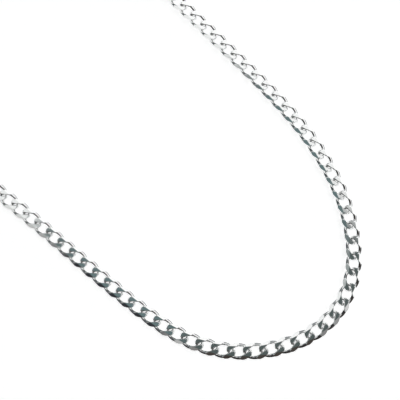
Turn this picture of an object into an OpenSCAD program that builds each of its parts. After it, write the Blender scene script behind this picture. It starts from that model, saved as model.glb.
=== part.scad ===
// Flat curb chain necklace, lying closed on a surface as one long loop.
// The front of the necklace faces -Y and the clasp is in the middle of the back, at +Y. The links
// and the clasp are ground flat above and below, and rest at z = 0.

/* [Necklace] */
// Length once round the necklace, along the middle of the chain and through the clasp
necklace_length = 500; // [460:5:530]

/* [Chain] */
// Width of the chain across its links
chain_w = 5; // [4.9:0.1:5.6]
// Thickness of the chain between its ground faces
chain_t = 1.8; // [1.6:0.1:2.1]
// Width of the sloped edge along each side of those faces
edge_w = 1.2; // [0.8:0.1:1.5]
// Slope of that edge
edge_slope = 11; // [6:1:16]
// Distance from one link to the next
pitch = 4.5; // [4.4:0.1:4.8]
// Width of the links' wire, seen from above
wire_w = 1.4; // [1.2:0.05:1.45]
// Height of the wire, which is rolled a little flat
wire_h = 1.3; // [1.1:0.05:1.4]
// Clearance between the wires of two links where they cross
link_gap = 0.25; // [0.2:0.05:0.35]

/* [Clasp] */
// Length of the clasp over the bows at its two ends
clasp_l = 16; // [14:0.5:20]
// Width of the clasp's body
clasp_w = 5.8; // [5.8:0.1:7]
// Radius of the corners of the clasp's body
clasp_corner_r = 1.2; // [0.8:0.1:2]
// Clearance between the clasp's body and the links in its bows
clasp_gap = 0.4; // [0.3:0.05:0.6]

/* [Hidden] */

// How the necklace lies: the chain's middle follows a smooth curve drawn through this polygon,
// anticlockwise from the clasp. Its front half is as photographed and its back half is plain.
route = [
    [3, 208.5], [-10, 207], [-22.5, 201], [-32, 191.5], [-38.5, 179.5], [-41, 164.5],
    [-41, 144], [-40.5, 122], [-40.5, 102], [-37.5, 81], [-35.5, 58.5], [-33, 35],
    [-29, 20.5], [-21.5, 10.5], [-11.5, 3], [-0.5, -0.5], [10, 0.5], [19, 5.5],
    [28, 16], [34.5, 30], [38.5, 48], [39.5, 70.5], [40, 93.5], [40.5, 116],
    [41, 140], [41, 161.5], [39, 179], [34.5, 192], [27, 201.5], [15.5, 207]
];
// Straight steps along the curve for each corner of that polygon
route_steps = 16;

// Corners of a link round its outline, and round its wire
link_corners = 12;
wire_corners = 6;
// Squareness of a link's outline: 2 is an ellipse, and a higher value has straighter sides
squareness = 2.3;

// Half the length and half the width of a link, along the middle of its wire
half_l = (pitch + wire_w + link_gap) / 2;
half_w = (chain_w - wire_w) / 2;
// Half the width of a link where the next link crosses it, half a pitch from its middle
cross_w = half_w * pow(1 - pow(pitch / 2 / half_l, squareness), 1 / squareness);
// Each link is twisted about the line of the chain, until the two wires pass there with the gap
cross_twist = asin((wire_h + link_gap) / 2 / cross_w);
end_twist = cross_twist * half_l / (pitch / 2);

// The clasp is a link with a longer middle, and its body stays clear of the links in its bows
clasp_stretch = clasp_l / 2 - half_l - wire_w / 2;
link_end = half_l + wire_w / 2;
clasp_body_l = 2 * (clasp_stretch + pitch - link_end - clasp_gap);

// Number of links, and the length of the loop that they close with the clasp
clasp_run = 2 * (pitch + clasp_stretch);
links = round((necklace_length - clasp_run) / pitch) + 1;
loop_length = (links - 1) * pitch + clasp_run;
left_links = floor(links / 2);

// Smooth closed curve inside the route's polygon
function corner(i) = route[(i + len(route)) % len(route)];
function on_curve(a, b, c, d, t) =
    (pow(1 - t, 3) * a + (3 * t * t * t - 6 * t * t + 4) * b
        + (3 * t + 3 * t * t - 3 * t * t * t + 1) * c + t * t * t * d) / 6;
curve = [
    for (i = [0 : len(route) - 1], j = [0 : route_steps - 1])
        on_curve(corner(i - 1), corner(i), corner(i + 1), corner(i + 2), j / route_steps)
];
steps = len(curve);
function curve_step(i) = norm(curve[(i + 1) % steps] - curve[i % steps]);
curve_run = [for (i = 0, run = 0; i <= steps; run = run + curve_step(i), i = i + 1) run];

// The curve is sized so that the links and the clasp just close it
curve_size = loop_length / curve_run[steps];
x_table = [for (i = [0 : steps]) [curve_run[i], curve[i % steps].x] * curve_size];
y_table = [for (i = [0 : steps]) [curve_run[i], curve[i % steps].y] * curve_size];

// Point of the loop at a distance along it from the middle of the clasp
function wrap(run) = run - loop_length * floor(run / loop_length);
function loop_point(run) = [lookup(wrap(run), x_table), lookup(wrap(run), y_table)];
// A piece lies with its two joints on the loop, each a reach away from the piece's middle
function spot(run, reach) = (loop_point(run - reach) + loop_point(run + reach)) / 2;
function heading(run, reach) =
    let (ahead = loop_point(run + reach) - loop_point(run - reach))
    atan2(ahead.y, ahead.x);
function link_run(i) = clasp_run / 2 + i * pitch;
clasp_reach = clasp_stretch + pitch / 2;
clasp_spot = spot(0, clasp_reach);
link_spots = [for (i = [0 : links - 1]) spot(link_run(i), pitch / 2)];

// Middle of the box round the necklace
side_x = [for (p = link_spots) p.x];
front_y = min([for (p = link_spots) p.y]) - chain_w / 2;
back_y = clasp_spot.y + clasp_w / 2;
middle = [(min(side_x) + max(side_x)) / 2, (front_y + back_y) / 2];

// Point on the middle of a link's wire, and the way the wire goes there. A stretch lengthens the
// straight middle of the link by that much on each side.
function link_middle(turn, stretch = 0) =
    let (
        x = half_l * sign(cos(turn)) * pow(abs(cos(turn)), 2 / squareness),
        y = half_w * sign(sin(turn)) * pow(abs(sin(turn)), 2 / squareness),
        twist = -end_twist * x / half_l
    )
    [x + stretch * sign(x), y * cos(twist), y * sin(twist)];
function wire_way(turn) = link_middle(turn + 1) - link_middle(turn - 1);

// Corners of a link's wire at one place round its outline. The link is ground flat above and
// below, and the ground faces slope down a little along the two sides of the chain.
function ground_top(y) = chain_t / 2 - tan(edge_slope) * max(0, abs(y) - chain_w / 2 + edge_w);
function ground(y, z) = max(-ground_top(y), min(ground_top(y), z)) + chain_t / 2;
function wire_ring(middle, way) =
    let (out = [way.y, -way.x, 0] / norm([way.x, way.y]), up = cross(out, way) / norm(way))
    [
        for (j = [0 : wire_corners - 1])
            let (
                angle = 360 * j / wire_corners,
                p = middle + wire_w / 2 * cos(angle) * out + wire_h / 2 * sin(angle) * up
            )
            [p.x, p.y, ground(p.y, p.z)]
    ];
link_points = [
    for (i = [0 : link_corners - 1])
        let (turn = 360 * i / link_corners)
        each wire_ring(link_middle(turn), wire_way(turn))
];

// Faces of a closed wire with a number of rings of corners
function wire_faces(rings) = [
    for (i = [0 : rings - 1], j = [0 : wire_corners - 1])
        let (
            near = i * wire_corners,
            far = (i + 1) % rings * wire_corners,
            next = (j + 1) % wire_corners
        )
        each [[near + j, far + next, far + j], [near + j, near + next, far + next]]
];

// A link in its place on the loop
function placed_link(i) =
    let (angle = heading(link_run(i), pitch / 2), seat = link_spots[i] - middle)
    [
        for (p = link_points)
            [
                seat.x + p.x * cos(angle) - p.y * sin(angle),
                seat.y + p.x * sin(angle) + p.y * cos(angle),
                p.z
            ]
    ];

// A stretch of the chain: loose links that pass through each other
module chain(first, count) {
    link_faces = wire_faces(link_corners);
    polyhedron(
        points = [for (i = [first : first + count - 1]) each placed_link(i)],
        faces = [
            for (i = [0 : count - 1], face = link_faces)
                [for (corner = face) corner + i * len(link_points)]
        ]
    );
}

module chain_left() {
    color("silver") chain(0, left_links);
}

module chain_right() {
    color("silver") chain(left_links, links - left_links);
}

// The wire of the clasp: a link's two ends, joined by straight bars inside the body
module clasp_bows() {
    turns = [for (half = [-90, 90], i = [0 : link_corners / 2]) half + 360 * i / link_corners];
    sides = [for (half = [1, -1], i = [0 : link_corners / 2]) half];
    polyhedron(
        points = [
            for (i = [0 : len(turns) - 1])
                let (side = sides[i], p = link_middle(turns[i]))
                each wire_ring([p.x + clasp_stretch * side, p.y, p.z], wire_way(turns[i]))
        ],
        faces = wire_faces(len(turns))
    );
}

module clasp_body() {
    linear_extrude(chain_t)
        for (x = [-1, 1], y = [-1, 1])
            translate([x * (clasp_body_l / 2 - clasp_corner_r), y * (clasp_w / 2 - clasp_corner_r)])
                circle(r = clasp_corner_r, $fn = 32);
    linear_extrude(chain_t) square([clasp_body_l - 2 * clasp_corner_r, clasp_w], center = true);
    linear_extrude(chain_t) square([clasp_body_l, clasp_w - 2 * clasp_corner_r], center = true);
}

module clasp() {
    color("gainsboro") translate(clasp_spot - middle) rotate(heading(0, clasp_reach)) {
        clasp_body();
        clasp_bows();
    }
}

chain_left();
chain_right();
clasp();
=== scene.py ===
"""Looks of a flat curb chain necklace that lies on a white studio table."""

import math

import bmesh
import bpy
import numpy as np
from mathutils import Vector, Matrix


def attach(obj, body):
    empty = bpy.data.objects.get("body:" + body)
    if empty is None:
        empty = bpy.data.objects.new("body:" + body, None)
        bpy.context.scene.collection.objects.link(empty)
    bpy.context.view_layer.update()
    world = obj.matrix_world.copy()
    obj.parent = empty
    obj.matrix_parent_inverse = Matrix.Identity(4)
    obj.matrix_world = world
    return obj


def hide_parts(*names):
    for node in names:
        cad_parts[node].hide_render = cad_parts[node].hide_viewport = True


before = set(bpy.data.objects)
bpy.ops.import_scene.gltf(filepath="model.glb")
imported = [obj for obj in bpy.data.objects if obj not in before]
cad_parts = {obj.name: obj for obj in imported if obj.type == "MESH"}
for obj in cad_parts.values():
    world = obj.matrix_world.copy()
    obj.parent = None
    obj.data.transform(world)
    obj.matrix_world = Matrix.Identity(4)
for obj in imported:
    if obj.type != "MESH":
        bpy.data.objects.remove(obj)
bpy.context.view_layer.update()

# Sizes of the chain, as in the CAD model and in metres. It slopes down along its two sides, over
# the edge width. The outline of a link is a superellipse with the squareness as its power.
PITCH = 0.0045
CHAIN_WIDTH = 0.005
CHAIN_THICKNESS = 0.0018
EDGE_WIDTH = 0.0012
EDGE_SLOPE = math.radians(11)
WIRE_WIDTH = 0.0014
WIRE_HEIGHT = 0.0013
LINK_GAP = 0.00025
SQUARENESS = 2.3

# Sizes of the clasp, as in the CAD model
CLASP_LENGTH = 0.016
CLASP_WIDTH = 0.0058
CLASP_CORNER = 0.0012
CLASP_GAP = 0.0004

# Fine shape of the clasp's body: rounding of its edges, that rounding as seen from its end, steps
# of its edges and of its corners, and the seam round it near each end
CLASP_EDGE = 0.0003
SECTION_EDGE = 0.9 * CLASP_EDGE
EDGE_STEPS = 6
CORNER_STEPS = 8
SEAM_PLACE = 0.0013
SEAM_WIDTH = 0.00022
SEAM_DEPTH = 0.00009

# How finely a link is made: rings round its outline, steps of each side of the wire, and the
# samples that the outline and a ground face are measured with
LINK_RINGS = 60
SIDE_STEPS = 6
OUTLINE_SAMPLES = 2001
FACE_SAMPLES = 721

# Edges of a ground face: half the turn over which an edge is rounded, and the most of its face
# that it takes. The worn edge is the one towards the inside of the link. The least face is half
# the turn of a ground face where the wire isn't ground.
EASE = math.radians(2.5)
EASE_SHARE = 1 / 12
WORN_EASE = math.radians(28)
WORN_SHARE = 0.6
LEAST_FACE = math.radians(9)

# Polished silver: its two tints, how many spots of wear and how many waves come to a metre, the
# wear that counts as none and as full, how much each of these changes the roughness, how far the
# roughness of one link is from the next, and how much higher the waves are than the grain
SILVER_TINTS = ((0.935, 0.945, 0.945, 1), (0.98, 0.98, 0.975, 1))
WEAR_SCALE = 900
WAVE_SCALE = 1400
WEAR_RANGE = (0.35, 0.7)
WEAR_ROUGHNESS = (0.7, 1.6)
LINK_ROUGHNESS = 0.012
WAVE_HEIGHT = 6

# The table: its size in metres and its glow, which is painted light that stands in for the studio
# light on it and clears the shadows round the links, the two tints of its clouds and their scale,
# and the scale, the roughness and the height of its fibres
TABLE_SIZE = 12
TABLE_PAINTED_GLOW = 0.65
TABLE_TINTS = ((0.88, 0.885, 0.88, 1), (0.92, 0.92, 0.92, 1))
CLOUD_SCALE = 9
FIBRE_SCALE = 700
FIBRE_ROUGHNESS = (0.55, 0.7)
FIBRE_STRENGTH = 0.3
FIBRE_HEIGHT = 0.00002

# The photograph's camera: where it stands, what it looks at, its roll, its lens, and the nearest
# that it sees
CAMERA_PLACE = Vector((-0.03182, -0.09908, 0.22601))
CAMERA_AIM = Vector((0.00081, -0.05417, 0.0009))
CAMERA_ROLL = math.radians(-8.75)
CAMERA_LENS = 72
CAMERA_SENSOR = 36
CAMERA_NEAR = 0.01

# The studio round the necklace: brightness of its white walls, and the things that the links
# reflect, each a soft disc laid over those before it, as (turn from the picture's right, height,
# half width, softness, colour), with angles in degrees. The first two leave a grey ring above the
# horizon. The picture's right is turned from the X axis by the picture turn.
PICTURE_TURN = -45
STUDIO_WHITE = 1.05
STUDIO_THINGS = [
    ("backdrop", 0, 90, 80, 3, (0.25, 0.265, 0.27)),
    ("bright_sky", 0, 90, 53, 6, (STUDIO_WHITE, STUDIO_WHITE, STUDIO_WHITE)),
    ("side_left", 118, 28, 28, 6, (0.05, 0.065, 0.068)),
    ("ceiling", 200, 80, 28, 7, (0.85, 0.86, 0.855)),
    ("grey_wall", 188, 60, 12, 6, (0.72, 0.73, 0.72)),
    ("hood", 225, 88.5, 16.7, 2, (0.085, 0.105, 0.103)),
    ("hood_side", 333, 67, 7, 4, (0.3, 0.3, 0.3)),
    ("hood_left", 128, 76, 5, 1.2, (0.125, 0.165, 0.165)),
    ("teal_side", 155, 80, 5.5, 1.5, (0.13, 0.185, 0.19)),
    ("lens", 205, 67, 7.5, 3, (0.03, 0.032, 0.037)),
    ("front_left", 200, 23, 34, 4, (0.024, 0.024, 0.026)),
    ("front", 245, 28, 34, 4, (0.03, 0.028, 0.028)),
    ("front_right", 280, 25, 29, 3, (0.045, 0.04, 0.038)),
    ("brown_edge", 262, 60, 16, 5, (0.05, 0.042, 0.038)),
    ("brown_corner", 300, 71, 9, 3, (0.06, 0.053, 0.048)),
]

# The wire's middle in a link, and how it twists so that links pass through each other
half_length = (PITCH + WIRE_WIDTH + LINK_GAP) / 2
half_width = (CHAIN_WIDTH - WIRE_WIDTH) / 2
cross_width = half_width * (1 - (PITCH / 2 / half_length) ** SQUARENESS) ** (1 / SQUARENESS)
cross_twist = math.asin((WIRE_HEIGHT + LINK_GAP) / 2 / cross_width)
end_twist = cross_twist * half_length / (PITCH / 2)
ridge = CHAIN_WIDTH / 2 - EDGE_WIDTH


def link_middle(turn):
    """Point on the middle of a link's wire, at a turn round its outline."""
    x = half_length * np.sign(np.cos(turn)) * np.abs(np.cos(turn)) ** (2 / SQUARENESS)
    y = half_width * np.sign(np.sin(turn)) * np.abs(np.sin(turn)) ** (2 / SQUARENESS)
    twist = -end_twist * x / half_length
    return np.stack([x, y * np.cos(twist), y * np.sin(twist)], axis=-1)


def even_turns(count):
    """Turns that set points evenly along the wire, the same in each quarter."""
    fine = np.linspace(0, math.pi / 2, OUTLINE_SAMPLES)
    steps = np.linalg.norm(np.diff(link_middle(fine), axis=0), axis=1)
    run = np.concatenate([[0], np.cumsum(steps)])
    share = np.linspace(0, run[-1], count // 4 + 1)
    first = np.interp(share, run, fine)[:-1]
    second = math.pi - np.interp(share[::-1], run, fine)[:-1]
    return np.concatenate([first, second, first + math.pi, second + math.pi])


def ground_height(y):
    """Height of the upper ground face, which slopes down along the two sides of the chain."""
    return CHAIN_THICKNESS / 2 - math.tan(EDGE_SLOPE) * np.maximum(0, np.abs(y) - ridge)


def wire_points(middle, out, up, angles):
    """Points round the wire before it is ground, at angles from its outer side."""
    across = WIRE_WIDTH / 2 * np.cos(angles)[:, None] * out
    return middle + across + WIRE_HEIGHT / 2 * np.sin(angles)[:, None] * up


def face_angles(middle, out, up, side):
    """Angles round the wire where a ground face starts, has its ridge and ends."""
    centre = side * math.pi / 2
    angles = np.linspace(centre - math.pi / 2, centre + math.pi / 2, FACE_SAMPLES)
    points = wire_points(middle, out, up, angles)
    cut = side * points[:, 2] - ground_height(points[:, 1])
    inside = np.nonzero(cut > 0)[0]
    top = angles[np.argmax(cut)]
    start, end = top - LEAST_FACE, top + LEAST_FACE
    if len(inside):
        start, end = min(start, angles[inside[0]]), max(end, angles[inside[-1]])
    past = np.abs(points[:, 1]) > ridge
    turns = angles[1:][past[1:] != past[:-1]]
    turns = turns[(turns > start) & (turns < end)]
    room = (end - start) / 4
    crest = turns[0] if len(turns) else (start + end) / 2
    return start, min(max(crest, start + room), end - room), end


def face_fan(start, crest, end, side):
    """Angles of the points over a ground face, with a pair at its start, its ridge and its end.
    The pair at the edge towards the inside of the link is wider."""
    ease = min(EASE, EASE_SHARE * (end - start))
    worn = min(WORN_EASE, WORN_SHARE * (end - crest if side > 0 else crest - start))
    first, last = (ease, worn) if side > 0 else (worn, ease)
    return [
        start - first, start + first, (start + first + crest - ease) / 2, crest - ease,
        crest + ease, (crest + ease + end - last) / 2, end - last, end + last
    ]


def wire_ring(middle, way):
    """Points and normals round a link's wire at one place, and which points are ground."""
    out = np.array([way[1], -way[0], 0]) / math.hypot(way[0], way[1])
    up = np.cross(out, way) / np.linalg.norm(way)
    upper = face_fan(*face_angles(middle, out, up, 1), 1)
    lower = [angle + 2 * math.pi for angle in face_fan(*face_angles(middle, out, up, -1), -1)]
    left = np.linspace(upper[-1], lower[0], SIDE_STEPS + 1)[1:-1]
    right = np.linspace(lower[-1], upper[0] + 2 * math.pi, SIDE_STEPS + 1)[1:-1]
    angles = np.concatenate([upper, left, lower, right])
    points = wire_points(middle, out, up, angles)
    normals = np.cos(angles)[:, None] * out / WIRE_WIDTH
    normals += np.sin(angles)[:, None] * up / WIRE_HEIGHT
    height = ground_height(points[:, 1])
    ground = np.abs(points[:, 2]) > height
    side = np.sign(points[:, 2])
    slope = np.where(np.abs(points[:, 1]) > ridge, math.tan(EDGE_SLOPE), 0) * np.sign(points[:, 1])
    flat = np.stack([0 * side, slope, side], axis=-1)
    normals[ground] = flat[ground]
    points[ground, 2] = (side * height)[ground]
    return points, normals / np.linalg.norm(normals, axis=1)[:, None], ground


def ring_faces(rings, around, closed):
    """Faces between rings of points, each ring with the same number of points."""
    near = np.arange(rings if closed else rings - 1)[:, None] * around
    far = (near + around) % (rings * around)
    j = np.arange(around)[None, :]
    k = (j + 1) % around
    return np.stack([near + j, far + j, far + k, near + k], axis=-1).reshape(-1, 4)


def wire_shape(stretch=0):
    """Points, normals, faces and ground faces of a smooth link, ground flat above and below. A
    stretch lengthens its straight middle by that much on each side."""
    turns = even_turns(LINK_RINGS)
    shifts = np.zeros(len(turns))
    if stretch:
        quarter = LINK_RINGS // 4
        ahead, behind = np.arange(-quarter, quarter + 1), np.arange(quarter, 3 * quarter + 1)
        turns = turns[np.concatenate([ahead, behind])]
        shifts = np.repeat([stretch, -stretch], len(ahead))
    step = 1e-4
    middles, ways = link_middle(turns), link_middle(turns + step) - link_middle(turns - step)
    rings = [wire_ring(middle, way) for middle, way in zip(middles, ways)]
    points, normals, ground = (np.stack(part) for part in zip(*rings))
    points[:, :, 0] += shifts[:, None]
    faces = ring_faces(*ground.shape, closed=True)
    return points.reshape(-1, 3), normals.reshape(-1, 3), faces, ground.ravel()[faces].all(axis=1)


def link_places(node):
    """Where each loose link of a CAD node lies: its middle, and the angle of its length."""
    shape = bmesh.new()
    shape.from_mesh(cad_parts[node].data)
    bmesh.ops.remove_doubles(shape, verts=shape.verts, dist=1e-7)
    left = set(shape.verts)
    places = []
    while left:
        island = {left.pop()}
        edge = set(island)
        while edge:
            edge = {e.other_vert(v) for v in edge for e in v.link_edges} - island
            island |= edge
        left -= island
        points = np.array([v.co for v in island])
        middle = points.mean(axis=0)
        spread = np.cov((points - middle)[:, :2].T)
        along = np.linalg.eigh(spread)[1][:, 1]
        places.append((middle, math.atan2(along[1], along[0])))
    shape.free()
    return sorted(places, key=lambda place: tuple(place[0]))


def smooth_mesh(name, points, normals, faces, flat, local, materials):
    """A mesh of quads and end caps, with the ground faces in the second material. Its UV map gives
    each link's own length and width directions, in metres."""
    mesh = bpy.data.meshes.new(name)
    mesh.from_pydata(points.tolist(), [], [list(face) for face in faces])
    mesh.polygons.foreach_set("use_smooth", [True] * len(mesh.polygons))
    mesh.polygons.foreach_set("material_index", np.asarray(flat, dtype=np.int32))
    corners = np.zeros(len(mesh.loops), dtype=np.int32)
    mesh.loops.foreach_get("vertex_index", corners)
    mesh.uv_layers.new(name="along_link").uv.foreach_set("vector", local[corners, :2].ravel())
    mesh.normals_split_custom_set_from_vertices(normals.tolist())
    for material in materials:
        mesh.materials.append(material)
    return mesh


def add_piece(mesh, node):
    """Puts a mesh in the scene as a piece that stands for a CAD node."""
    piece = bpy.data.objects.new(mesh.name, mesh)
    bpy.context.scene.collection.objects.link(piece)
    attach(piece, "root")
    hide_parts(node)


def chain(node, materials):
    """All the links of a CAD node, smooth and fused into one piece."""
    link_points, link_normals, link_faces, link_flat = wire_shape()
    points, normals, faces = [], [], []
    places = link_places(node)
    for i, (middle, angle) in enumerate(places):
        turn = np.array(Matrix.Rotation(angle, 3, "Z"))
        points.append(link_points @ turn.T + middle)
        normals.append(link_normals @ turn.T)
        faces.append(link_faces + i * len(link_points))
    count = len(places)
    mesh = smooth_mesh(
        node + "_links", np.concatenate(points), np.concatenate(normals), np.concatenate(faces),
        np.tile(link_flat, count), np.tile(link_points, (count, 1)), materials
    )
    add_piece(mesh, node)


def rounded_section(x, width, height):
    """Points round the clasp's body at one place along it, seen from its end. The width and the
    height are half those of the body there."""
    quarter = np.linspace(0, math.pi / 2, EDGE_STEPS + 1)
    points = []
    for i, (side, rise) in enumerate(((1, 1), (-1, 1), (-1, -1), (1, -1))):
        turn = quarter + i * math.pi / 2
        y = side * (width - SECTION_EDGE) + SECTION_EDGE * np.cos(turn)
        z = rise * (height - SECTION_EDGE) + SECTION_EDGE * np.sin(turn)
        points.append(np.stack([x + 0 * y, y, z], axis=-1))
    return np.concatenate(points)


def rounded_half(full, radius, place):
    """Half of a size of the clasp's body at a place from its end, where it is rounded."""
    return full / 2 - radius + math.sqrt(radius ** 2 - max(0, radius - place) ** 2)


def clasp_body(length):
    """Points and faces of a flat bar with rounded corners and edges, and a fine seam round it near
    each end."""
    turns = np.linspace(0, math.pi / 2, CORNER_STEPS + 1)
    sunk = {SEAM_PLACE - SEAM_WIDTH / 4, SEAM_PLACE + SEAM_WIDTH / 4}
    places = {0.0, length / 2, SEAM_PLACE - SEAM_WIDTH / 2, SEAM_PLACE + SEAM_WIDTH / 2} | sunk
    for radius in (CLASP_CORNER, CLASP_EDGE):
        places |= {float(place) for place in radius * (1 - np.cos(turns))}
    sections = []
    for place in sorted(places):
        depth = SEAM_DEPTH if place in sunk else 0
        width = rounded_half(CLASP_WIDTH, CLASP_CORNER, place) - depth
        height = rounded_half(CHAIN_THICKNESS, CLASP_EDGE, place) - depth
        sections.append((length / 2 - place, width, height))
    sections += [(-x, width, height) for x, width, height in sections[-2::-1]]
    rings = [rounded_section(*section) for section in sections]
    around = len(rings[0])
    points = np.concatenate(rings)
    faces = ring_faces(len(rings), around, closed=False).tolist()
    ends = [list(range(around)), list(range(len(points) - around, len(points)))[::-1]]
    return points, faces + ends


def weighted_normals(points, faces):
    """Normals at the points, where each face round a point counts by its area."""
    normals = np.zeros(points.shape)
    for face in faces:
        ring = points[face]
        area = np.cross(ring - ring[0], np.roll(ring, -1, axis=0) - ring[0]).sum(axis=0)
        normals[face] += area
    return normals / np.linalg.norm(normals, axis=1)[:, None]


def clasp(materials):
    """The plain clasp: its body, and the bows at its two ends that hold the last links."""
    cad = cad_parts["clasp"]
    corners = np.array([corner[:] for corner in cad.bound_box])
    middle = (corners.min(axis=0) + corners.max(axis=0)) / 2
    upright = [face for face in cad.data.polygons if abs(face.normal.z) < 0.1]
    side = max(upright, key=lambda face: face.area).normal
    turn = np.array(Matrix.Rotation(math.atan2(side.y, side.x) - math.pi / 2, 3, "Z"))

    link_end = half_length + WIRE_WIDTH / 2
    stretch = CLASP_LENGTH / 2 - link_end
    body_points, body_faces = clasp_body(2 * (stretch + PITCH - link_end - CLASP_GAP))
    bow_points, bow_normals, bow_faces, bow_flat = wire_shape(stretch)
    local = np.concatenate([body_points, bow_points])
    normals = np.concatenate([weighted_normals(body_points, body_faces), bow_normals])
    mesh = smooth_mesh(
        "clasp_smooth", local @ turn.T + middle, normals @ turn.T,
        body_faces + (bow_faces + len(body_points)).tolist(),
        [True] * len(body_faces) + bow_flat.tolist(), local, materials
    )
    add_piece(mesh, "clasp")


def fill(tree, node, values):
    """Sets inputs of a shader node, each to a plain value or to another node's output."""
    for socket, value in values.items():
        if isinstance(value, bpy.types.NodeSocket):
            tree.links.new(value, node.inputs[socket])
        else:
            node.inputs[socket].default_value = value


def adder(tree):
    """A helper that adds a shader node to a tree, with its inputs and its settings."""
    def add(kind, values=None, **settings):
        node = tree.nodes.new("ShaderNode" + kind)
        for setting, value in settings.items():
            setattr(node, setting, value)
        fill(tree, node, values or {})
        return node

    return add


def new_material(name):
    """A new material, its node tree, its shader, and the helper that adds nodes to it."""
    material = bpy.data.materials.new(name)
    material.use_nodes = True
    tree = material.node_tree
    return material, tree, tree.nodes["Principled BSDF"], adder(tree)


def silver(name, stretch, grain, relief, roughness):
    """Polished silver. Its grain is drawn out along the link by a stretch, and each link is a
    little brighter or duller than the next."""
    material, tree, shader, add = new_material(name)
    along = add("UVMap", uv_map="along_link").outputs["UV"]
    solid = add("TexCoord").outputs["Object"]
    island = add("NewGeometry").outputs["Random Per Island"]
    shift = add("CombineXYZ", {"X": island, "Y": island, "Z": island})
    spread = add("VectorMath", {0: along, 1: (1 / stretch, 1, 1)}, operation="MULTIPLY")
    place = add("VectorMath", {0: spread.outputs[0], 1: shift.outputs[0]}, operation="ADD")
    lines = add("TexNoise", {
        "Vector": place.outputs[0], "Scale": grain, "Detail": 2, "Roughness": 0.6
    })
    wear = add("TexNoise", {
        "Vector": solid, "Scale": WEAR_SCALE, "Detail": 3, "Roughness": 0.55
    }).outputs["Fac"]
    waves = add("TexNoise", {"Vector": solid, "Scale": WAVE_SCALE, "Detail": 0})

    dull = add("MapRange", {
        "Value": wear, "From Min": WEAR_RANGE[0], "From Max": WEAR_RANGE[1],
        "To Min": roughness * WEAR_ROUGHNESS[0], "To Max": roughness * WEAR_ROUGHNESS[1]
    })
    own = add("MapRange", {"Value": island, "To Min": -LINK_ROUGHNESS, "To Max": LINK_ROUGHNESS})
    rough = add("Math", {0: dull.outputs[0], 1: own.outputs[0]}, operation="ADD", use_clamp=True)
    tone = add(
        "Mix", {"Factor": wear, "A": SILVER_TINTS[0], "B": SILVER_TINTS[1]}, data_type="RGBA"
    )
    soft = add("Bump", {
        "Height": waves.outputs["Fac"], "Strength": 1, "Distance": relief * WAVE_HEIGHT
    })
    fine = add("Bump", {
        "Height": lines.outputs["Fac"], "Strength": 1, "Distance": relief,
        "Normal": soft.outputs[0]
    })
    fill(tree, shader, {
        "Base Color": tone.outputs["Result"], "Metallic": 1, "Roughness": rough.outputs[0],
        "Normal": fine.outputs[0]
    })
    return material


def table():
    """The white paper that the necklace lies on. Its glow is painted light, standing in for a lit
    studio table.
    """
    bpy.ops.mesh.primitive_plane_add(size=TABLE_SIZE, location=(0, 0, 0))
    floor = bpy.context.object
    floor.name = "table"
    material, tree, shader, add = new_material("white_paper")
    solid = add("TexCoord").outputs["Object"]
    fibres = add("TexNoise", {
        "Vector": solid, "Scale": FIBRE_SCALE, "Detail": 4, "Roughness": 0.7
    }).outputs["Fac"]
    clouds = add("TexNoise", {"Vector": solid, "Scale": CLOUD_SCALE, "Detail": 2}).outputs["Fac"]
    white = add(
        "Mix", {"Factor": clouds, "A": TABLE_TINTS[0], "B": TABLE_TINTS[1]}, data_type="RGBA"
    )
    dull = add("MapRange", {
        "Value": fibres, "To Min": FIBRE_ROUGHNESS[0], "To Max": FIBRE_ROUGHNESS[1]
    })
    relief = add("Bump", {
        "Height": fibres, "Strength": FIBRE_STRENGTH, "Distance": FIBRE_HEIGHT
    })
    # Painted light: the emission makes the paper glow though it is no lamp, which clears the
    # shadows round the links.
    fill(tree, shader, {
        "Base Color": white.outputs["Result"], "Roughness": dull.outputs[0],
        "Normal": relief.outputs[0], "Emission Color": (1, 1, 1, 1),
        "Emission Strength": TABLE_PAINTED_GLOW
    })
    floor.data.materials.append(material)


def studio():
    """White all round, with the darker things near the camera that the polished links reflect."""
    world = bpy.data.worlds.new("studio")
    bpy.context.scene.world = world
    world.use_nodes = True
    tree = world.node_tree
    add = adder(tree)
    way = add("TexCoord").outputs["Generated"]
    colour = (STUDIO_WHITE, STUDIO_WHITE, STUDIO_WHITE, 1)
    for name, turn, height, half_width, softness, tint in STUDIO_THINGS:
        turn, height = math.radians(turn + PICTURE_TURN), math.radians(height)
        level = math.cos(height)
        centre = (level * math.cos(turn), level * math.sin(turn), math.sin(height))
        near = add("VectorMath", {0: way, 1: centre}, operation="DOT_PRODUCT")
        angle = add("Math", {0: near.outputs["Value"]}, operation="ARCCOSINE")
        fade = add("MapRange", {
            "Value": angle.outputs[0], "From Min": math.radians(half_width + softness),
            "From Max": math.radians(half_width - softness)
        }, interpolation_type="SMOOTHSTEP")
        mix = add(
            "Mix", {"Factor": fade.outputs["Result"], "A": colour, "B": (*tint, 1)},
            data_type="RGBA", name=name
        )
        colour = mix.outputs["Result"]
    fill(tree, tree.nodes["Background"], {"Color": colour})


def camera():
    """The camera at the photograph's place, with its roll."""
    data = bpy.data.cameras.new("camera")
    data.sensor_width = CAMERA_SENSOR
    data.lens = CAMERA_LENS
    data.clip_start = CAMERA_NEAR
    view = bpy.data.objects.new("camera", data)
    bpy.context.scene.collection.objects.link(view)
    ahead = (CAMERA_AIM - CAMERA_PLACE).normalized()
    level = ahead.cross(Vector((0, 0, 1))).normalized()
    up = level.cross(ahead)
    right = level * math.cos(CAMERA_ROLL) + up * math.sin(CAMERA_ROLL)
    up = right.cross(ahead)
    axes = Matrix((right, up, -ahead)).transposed().to_4x4()
    view.matrix_world = Matrix.Translation(CAMERA_PLACE) @ axes
    bpy.context.scene.camera = view


silvers = (
    silver("wire_silver", stretch=3, grain=16000, relief=2.0e-7, roughness=0.06),
    silver("ground_silver", stretch=25, grain=30000, relief=1.2e-7, roughness=0.045),
)
for node in ("chain_left", "chain_right"):
    chain(node, silvers)
clasp(silvers)
table()
studio()
camera()
bpy.context.scene.view_settings.view_transform = "Standard"
